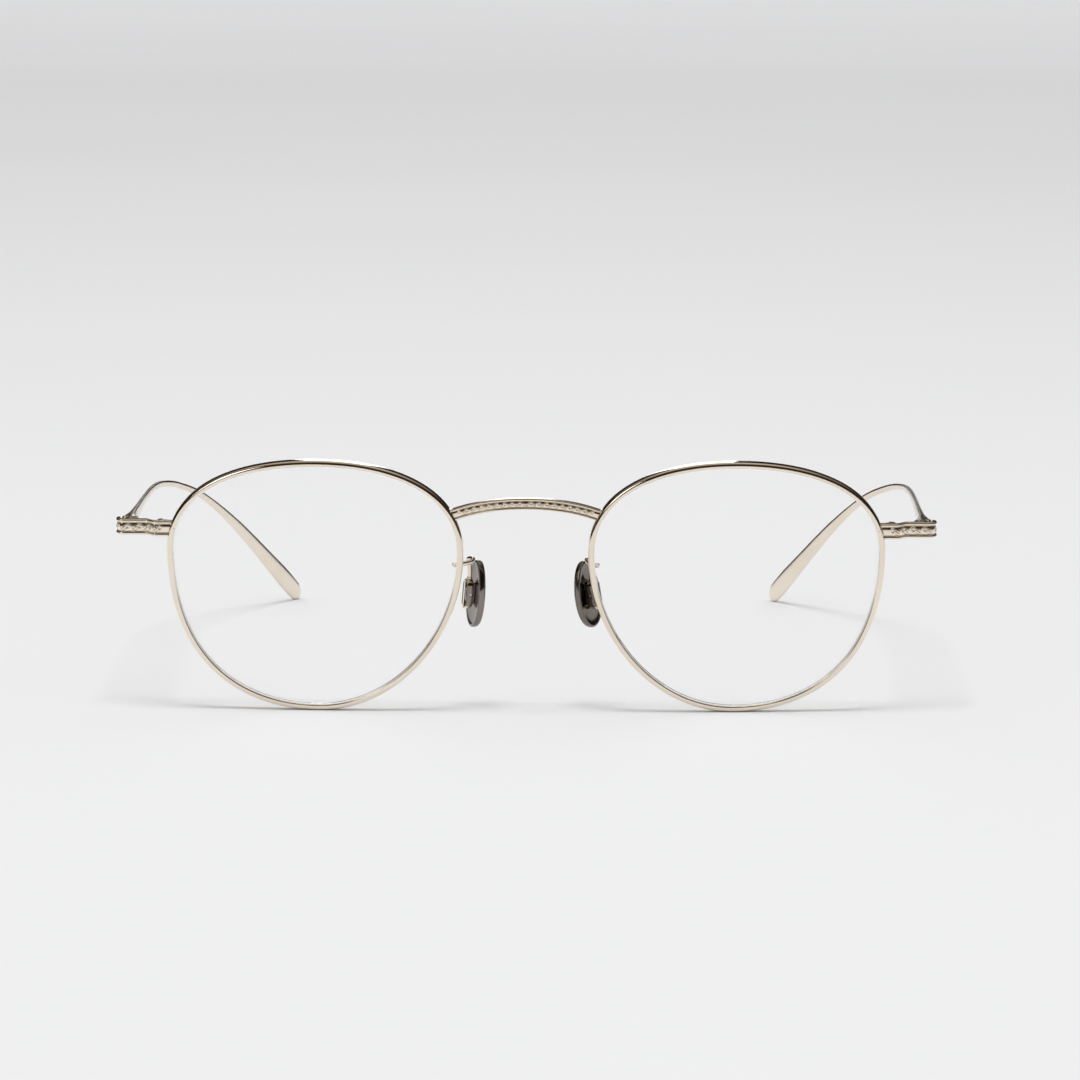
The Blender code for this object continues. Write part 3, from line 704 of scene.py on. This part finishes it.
# ------------------------------------------------------------------ temples
def temple_route():
    zh = pin_point(1).z
    return [
        (67.35, 7.20, zh), (67.40, 12.0, zh - 0.08), (67.65, 26.0, zh - 0.40), (68.2, 48.0, zh - 1.05), (68.5, 70.0, zh - 1.9),
        (67.9, 82.5, zh - 2.6), (65.8, 94.0, zh - 4.2), (61.9, 104.8, zh - 7.6), (56.9, 115.0, zh - 13.8), (51.3, 125.0, zh - 22.0), (45.6, 135.2, zh - 30.73),
    ]


TEMPLE_SECTION = [
    (0.0, 2.40, 2.60), (3.0, 2.40, 2.50), (6.0, 2.36, 1.90), (10.0, 2.30, 1.45), (22.0, 2.00, 1.25), (45.0, 1.40, 1.10), (70.0, 1.20, 1.10),
    (92.0, 1.20, 1.10), (104.0, 1.45, 1.10), (116.0, 2.40, 1.10), (128.0, 3.60, 1.15), (135.0, 4.15, 1.20), (140.4, 3.6, 1.1),
]


def section_at(q):
    """Height and thickness at share q of the temple's length: a smooth run through the table."""
    s = q * TEMPLE_SECTION[-1][0]
    n = len(TEMPLE_SECTION)
    for i in range(n - 1):
        s0, s1 = TEMPLE_SECTION[i][0], TEMPLE_SECTION[i + 1][0]
        if s <= s1 + 1e-6:
            f = (s - s0) / (s1 - s0)
            got = []
            for k in (1, 2):
                y = [TEMPLE_SECTION[j][k] for j in (max(i - 1, 0), i, i + 1, min(i + 2, n - 1))]
                x = [TEMPLE_SECTION[j][0] for j in (max(i - 1, 0), i, i + 1, min(i + 2, n - 1))]
                d0 = (y[2] - y[0]) / (x[2] - x[0]) * (s1 - s0)
                d1 = (y[3] - y[1]) / (x[3] - x[1]) * (s1 - s0)
                got.append(
                    y[1] * (2 * f**3 - 3 * f * f + 1) + d0 * (f**3 - 2 * f * f + f) + y[2] * (3 * f * f - 2 * f**3) + d1 * (f**3 - f * f)
                )
            return got
    return TEMPLE_SECTION[-1][1:]


def make_temple(side, s):
    c = pin_point(s)
    kn = KNUCKLE_H / 2
    out = Vector((s, 0, 0))
    route, total = even(spline([(x, y + FRONT_Y, z) for x, y, z in temple_route()], 60), 0.4)
    n = len(route)
    k = 28
    rings = []
    cap = 2.1      # length of the rounded end
    # crowd the stations where the end rounds over
    stops = [total * i / (n - 1) for i in range(n) if total * i / (n - 1) < total - cap]
    stops += [total - cap + cap * math.sin(math.pi / 2 * j / 16) for j in range(16)] + [total - 0.004]
    for q in stops:
        x = q / total * (n - 1)
        i = min(int(x), n - 2)
        p = route[i].lerp(route[i + 1], x - i)
        t = (route[min(i + 2, n - 1)] - route[max(i - 1, 0)]).normalized()
        if q < 0.5:
            t = BACK
        side_dir = t.cross(UP).normalized()
        up = side_dir.cross(t).normalized()
        h, w = section_at(q / total)
        w *= 0.96
        h *= 1.0 - 0.095 * max(0.0, min(1.0, (q / total - 0.78) / 0.12))
        if q > total - cap:
            f = math.sqrt(max(0.0, 1 - ((q - total + cap) / cap) ** 2))
            h, w = h * max(f, 0.02), w * max(f**0.6, 0.02)
        lead = min(1.0, 0.82 + q / 0.25 * 0.18) if q < 0.25 else 1.0    # eased edge at the butt
        ring = []
        e = 3.4 - 1.1 * min(1.0, q / 24.0)       # squarer at the root, rounder along the wire
        for j in range(k):
            a = 2 * math.pi * (j + 0.5) / k
            ca, sa = math.cos(a), math.sin(a)
            x1 = math.copysign(abs(ca) ** (2 / e), ca) * w / 2 * lead
            y1 = math.copysign(abs(sa) ** (2 / e), sa) * h / 2 * lead
            g = p + side_dir * x1 + up * y1
            ring.append(Vector((s * g.x, g.y, g.z)))
        rings.append(ring)
    ob = raw(f"temple_wire_{side}", *loft(rings), sharp=40.0)
    carve(
        ob,
        [
            ("UNION", *rounded_box(c, out, BACK, UP, (1.28, 0.0, -1.12), (1.92, 2.2, 1.12), 0.12)),
            ("DIFFERENCE", *box_mesh(c, out, BACK, UP, (-0.15, 0.9, -kn), (0.85, 4.25, kn))),
        ],
        40.0,
    )
    place(ob, GOLD_WIRE, f"temple_{side}", "gold", f"temple_{side}")


def rounded_box(o, ax, ay, az, lo, hi, r):
    """A bar along ay with rounded long edges."""
    line = rounded([(lo[0], lo[2], r), (hi[0], lo[2], r), (hi[0], hi[2], r), (lo[0], hi[2], r)], 4)
    o, ax, ay, az = Vector(o), Vector(ax), Vector(ay), Vector(az)
    return loft([[o + ax * x + ay * y + az * z for x, z in line] for y in (lo[1], hi[1])])


for side, s in SIDES:
    make_temple(side, s)


# ------------------------------------------------------------------ nose pads
def pad_axes(side, s):
    c, tilt, splay = PAD_SET[side]
    a, b = math.radians(tilt), math.radians(splay)
    long = front_dir(-s * math.sin(a), 0, math.cos(a))
    nose = front_dir(-s * math.cos(b) * math.cos(a), math.sin(b), -math.cos(b) * math.sin(a))
    wide = long.cross(nose)
    if wide.y < 0:
        wide = -wide
    return front(s * c[0], c[1], c[2]), long, wide, nose


# share of the outline and depth towards the nose, from the middle of the back to the middle of the face
PAD_SECTION = [
    (0.05, -0.42), (0.30, -0.425), (0.52, -0.435), (0.68, -0.46), (0.78, -0.50), (0.84, -0.555), (0.885, -0.59), (0.93, -0.585), (0.965, -0.54),
    (0.988, -0.44), (1.0, -0.28), (1.0, -0.03), (0.992, 0.20), (0.972, 0.38), (0.935, 0.52), (0.88, 0.61), (0.78, 0.67), (0.62, 0.695), (0.40, 0.70), (0.20, 0.70), (0.05, 0.70),
]

for side, s in SIDES:
    c, long, wide, nose = pad_axes(side, s)
    box_c = c - nose * BOX_N
    n = 112
    rings = []
    for share, d in PAD_SECTION:
        ring = []
        for i in range(n):
            a = 2 * math.pi * i / n
            y = math.sin(a) * PAD_H / 2
            x = math.cos(a) * PAD_W / 2 * (1 - 0.10 * math.sin(a))
            ring.append(c + wide * (x * share) + long * (y - math.sin(a) * (1 - share) * PAD_W / 2) + nose * d)
        rings.append(ring)
    ob = raw(f"pad_shell_{side}", *loft(rings), sharp=40.0)
    arch = [(1.75 * math.sin(b), -0.12 - 0.45 * math.cos(b) ** 0.8) for b in (math.radians(-88 + 176 * k / 20) for k in range(21))]
    arch += [(1.75, BOX_N - 0.55), (-1.75, BOX_N - 0.55)]
    lug = loft([[box_c + wide * w + long * (l * f) + nose * (d + (0.07 if d < 0.2 and f < 1 else 0.0)) for l, d in arch] for w, f in ((-0.70, 0.96), (-0.63, 1.0), (0.63, 1.0), (0.70, 0.96))])
    carve(ob, [("UNION", *lug), ("DIFFERENCE", *turned(box_c - wide * 3, wide, [(0.36, 0), (0.36, 6)], 40))], 40.0)
    place(ob, PAD_METAL, f"pad_{side}", "pad", f"nose_pad_{side}")

    def oblong(hw, hl, d, k=24):
        pts = []
        for sign in (1, -1):
            for i in range(k + 1):
                a = math.pi * i / k
                pts.append(box_c + wide * (sign * hw * math.cos(a)) + long * (sign * ((hl - hw) + hw * math.sin(a))) + nose * d)
        return pts

    wall = []
    for x, d in rounded([(BOX_W, 0.38, 0.05), (BOX_W, -0.74, 0.20), (0.88, -0.74, 0.13), (0.88, 0.38, 0.05)], 5):
        wall.append(oblong(x, BOX_L - BOX_W + x, d))
    ob = raw(f"pad_cup_{side}", *loft(wall, closed=True))
    spine = []
    for l, f in ((-BOX_L + 0.10, 0.55), (-BOX_L + 0.16, 0.85), (-BOX_L + 0.30, 1.0), (0.0, 1.0), (BOX_L - 0.30, 1.0), (BOX_L - 0.16, 0.85), (BOX_L - 0.10, 0.55)):
        spine.append([box_c + wide * (0.17 * f * math.cos(a)) + long * l + nose * (-0.80 + 0.135 * f * math.sin(a)) for a in (2 * math.pi * j / 20 for j in range(20))])
    carve(ob, [("UNION", *loft(spine)), ("DIFFERENCE", *turned(box_c - wide * 3, wide, [(0.34, 0), (0.34, 6)], 40))])
    place(ob, GOLD, "front", "gold", f"pad_box_{side}")
    ob.data.materials.append(PAD_METAL)
    # painted shade: the gold cup's straight middle walls take the dark pad metal, so only its rounded ends and spine
    # show gold
    for face in ob.data.polygons:
        q = face.center / MM - box_c
        painted_shade_face = abs(q.dot(long)) < BOX_L - 0.62 and not (abs(q.dot(wide)) < 0.19 and q.dot(nose) < -0.64)
        face.material_index = 1 if painted_shade_face else 0

    prof = [(0.24, -1.15), (0.30, -1.09), (0.30, 1.29), (0.49, 1.29), (0.52, 1.32), (0.52, 1.43), (0.49, 1.50), (0.41, 1.56), (0.26, 1.595), (0.10, 1.60)]
    ob = raw(f"pad_pivot_screw_{side}", *turned(box_c, wide, prof, 48))
    carve(ob, [slot_cut(box_c, wide, long, 1.0, 0.08, 1.46, 2.4)])
    place(ob, STEEL, "front", "steel", f"pad_screw_{side}")

    w_rim = depth(11.5, 3.5) + RIM_D + BRAZE + ARM_R

    def by_pad(l, d):
        return c + long * l - nose * d

    over = by_pad(6.0, 1.88)
    turn = over + front_dir(-s * 0.70, -0.95, 0.25)
    u1 = abs(turn.x) + 0.15
    route = [
        front(s * 12.45, w_rim, 3.50), front(s * 11.45, w_rim, 3.56), front(s * (u1 + 11.4) / 2, w_rim + 0.14, 3.68),
        front(s * u1, w_rim + 0.80, 3.88), turn, over, by_pad(4.8, 1.62), by_pad(3.6, 1.46), by_pad(BOX_L + 0.02, 1.42),
    ]
    route, total = even(spline(route, 30), 0.06)
    rings, k, ref, n = [], 24, None, len(route)
    for i, p in enumerate(route):
        t = (route[min(i + 1, n - 1)] - route[max(i - 1, 0)]).normalized()
        if ref is None:
            ref = t.cross(UP).normalized()
        ref = (ref - t * ref.dot(t)).normalized()
        other = t.cross(ref)
        along = total * i / (n - 1)
        end = min(along, 0.22)
        r = ARM_R * (0.55 + 0.45 * math.sqrt(max(0.0, 1 - (1 - end / 0.22) ** 2)))
        r += 0.07 * math.exp(-((total - along) / 0.30) ** 2)       # flare into the box
        rings.append([p + (ref * math.cos(a) + other * math.sin(a)) * r for a in (2 * math.pi * j / k for j in range(k))])
    place(raw(f"pad_wire_{side}", *loft(rings), sharp=45.0), GOLD_WIRE, "front", "gold", f"pad_arm_{side}")


# ------------------------------------------------------------------ studio
def stage_object(name, verts, faces, mat):
    mesh = bpy.data.meshes.new(name)
    mesh.from_pydata(verts, [], faces)
    mesh.materials.append(mat)
    ob = bpy.data.objects.new(name, mesh)
    bpy.context.scene.collection.objects.link(ob)
    return ob


def reflection_only(ob):
    ob.visible_camera = ob.visible_diffuse = ob.visible_shadow = False
    ob.visible_transmission = ob.visible_volume_scatter = False


floor_mat, ft, fp = node_material("studio_floor")
grain = noise(ft, 3.0, 2.0)
link(ft, blend_colour(ft, grain.outputs["Fac"], (0.800, 0.802, 0.806), (0.808, 0.810, 0.814)), fp.inputs["Base Color"])
fp.inputs["Roughness"].default_value = 0.85
fp.inputs["Specular IOR Level"].default_value = 0.15
R = 14.0
stage_object("studio_floor", [(-R, -R, 0), (R, -R, 0), (R, R, 0), (-R, R, 0)], [(0, 1, 2, 3)], floor_mat)


def glow(name, colour, strength):
    m = bpy.data.materials.new(name)
    m.use_nodes = True
    t = m.node_tree
    t.nodes.clear()
    e = t.nodes.new("ShaderNodeEmission")
    e.inputs["Color"].default_value = (*colour, 1)
    e.inputs["Strength"].default_value = strength
    o = t.nodes.new("ShaderNodeOutputMaterial")
    link(t, e.outputs["Emission"], o.inputs["Surface"])
    return m


# dark room above the table, lighter overhead and behind, seen only in reflections
def room_material():
    m = bpy.data.materials.new("room")
    m.use_nodes = True
    t = m.node_tree
    t.nodes.clear()
    tc = t.nodes.new("ShaderNodeTexCoord")
    dot = t.nodes.new("ShaderNodeVectorMath")
    dot.operation = "DOT_PRODUCT"
    dot.inputs[1].default_value = (0.0, 0.25 / ROOM_R, 1.0 / ROOM_R)
    link(t, tc.outputs["Object"], dot.inputs[0])
    r = t.nodes.new("ShaderNodeValToRGB")
    r.color_ramp.interpolation = "EASE"
    r.color_ramp.elements[0].position, r.color_ramp.elements[0].color = 0.62, (0.030, 0.022, 0.016, 1)
    r.color_ramp.elements[1].position, r.color_ramp.elements[1].color = 1.0, (0.58, 0.55, 0.51, 1)
    mid = r.color_ramp.elements.new(0.86)
    mid.color = (0.22, 0.196, 0.168, 1)
    link(t, dot.outputs["Value"], r.inputs["Fac"])
    e = t.nodes.new("ShaderNodeEmission")
    link(t, r.outputs["Color"], e.inputs["Color"])
    o = t.nodes.new("ShaderNodeOutputMaterial")
    link(t, e.outputs["Emission"], o.inputs["Surface"])
    return m


ROOM_R = 2.4
n, bands = 64, 24
verts = []
for k in range(bands + 1):
    e = math.radians(1.5 + 88.4 * k / bands)
    verts += [(ROOM_R * math.cos(e) * math.cos(2 * math.pi * i / n), ROOM_R * math.cos(e) * math.sin(2 * math.pi * i / n), ROOM_R * math.sin(e)) for i in range(n)]
faces = [(k * n + i, k * n + (i + 1) % n, (k + 1) * n + (i + 1) % n, (k + 1) * n + i) for k in range(bands) for i in range(n)]
reflection_only(stage_object("room", verts, faces, room_material()))


def card(name, az, el, colour, strength, rad=2.2):
    """A glowing panel between two azimuths and two heights, azimuth 0 straight behind, seen only in reflections: a
    painted highlight in the metal, not a lamp.
    """
    verts = []
    for e in el:
        verts += [(rad * math.sin(math.radians(a)) * math.cos(math.radians(e)), rad * math.cos(math.radians(a)) * math.cos(math.radians(e)), rad * math.sin(math.radians(e))) for a in az]
    reflection_only(stage_object(name, verts, [(0, 1, 3, 2)], glow(name, colour, strength)))


# painted highlights: glowing cards that light nothing and show only as reflections in the metal
card("back_strip", (-5.7, 2.6), (9.0, 30.0), (1.0, 0.99, 0.97), 2.2)
card("left_painted_highlight_card", (-150.0, -128.0), (18.0, 44.0), (0.97, 0.99, 1.0), 2.6)

world = bpy.data.worlds.new("studio_world")
world.use_nodes = True
bg = world.node_tree.nodes["Background"]
bg.inputs["Color"].default_value = (0.99, 0.99, 1.0, 1)
bg.inputs["Strength"].default_value = 0.625
bpy.context.scene.world = world


def area(name, loc, target, size, power, colour=(1, 1, 1)):
    d = bpy.data.lights.new(name, "AREA")
    d.shape, d.size, d.size_y = "RECTANGLE", size[0], size[1]
    d.energy, d.color = power, colour
    ob = bpy.data.objects.new(name, d)
    bpy.context.scene.collection.objects.link(ob)
    ob.location = loc
    ob.rotation_euler = (Vector(target) - Vector(loc)).to_track_quat("-Z", "Y").to_euler()
    ob.visible_glossy = False
    return ob


area("overhead_softbox", (-0.10, -0.45, 2.20), (0, 0, 0), (0.9, 0.7), 23.0)
area("far_table", (0, 4.2, 2.5), (0, 4.2, 0), (5.0, 3.0), 30.0)

# ------------------------------------------------------------------ camera at the photograph's angle
PITCH, YAW, ROLL = 7.595, 0.6, 0.177
CAM_X, CAM_D, CAM_H, FOCAL_PX = 2.39, 900.0, 149.65, 5400.0
ya = math.radians(YAW)
cam_data = bpy.data.cameras.new("camera")
cam_data.sensor_fit, cam_data.sensor_width = "HORIZONTAL", 36.0
cam_data.lens = FOCAL_PX / 1080 * 36.0
cam_data.clip_start, cam_data.clip_end = 0.01, 100.0
cam = bpy.data.objects.new("camera", cam_data)
bpy.context.scene.collection.objects.link(cam)
where = Vector((CAM_X * math.cos(ya) + CAM_D * math.sin(ya), FRONT_Y + CAM_X * math.sin(ya) - CAM_D * math.cos(ya), CAM_H)) * MM
cam.matrix_world = (
    Matrix.Translation(where)
    @ Matrix.Rotation(ya, 4, "Z")
    @ Matrix.Rotation(math.radians(90 - PITCH), 4, "X")
    @ Matrix.Rotation(math.radians(ROLL), 4, "Z")
)
bpy.context.scene.camera = cam
bpy.context.scene.view_settings.view_transform = "Standard"
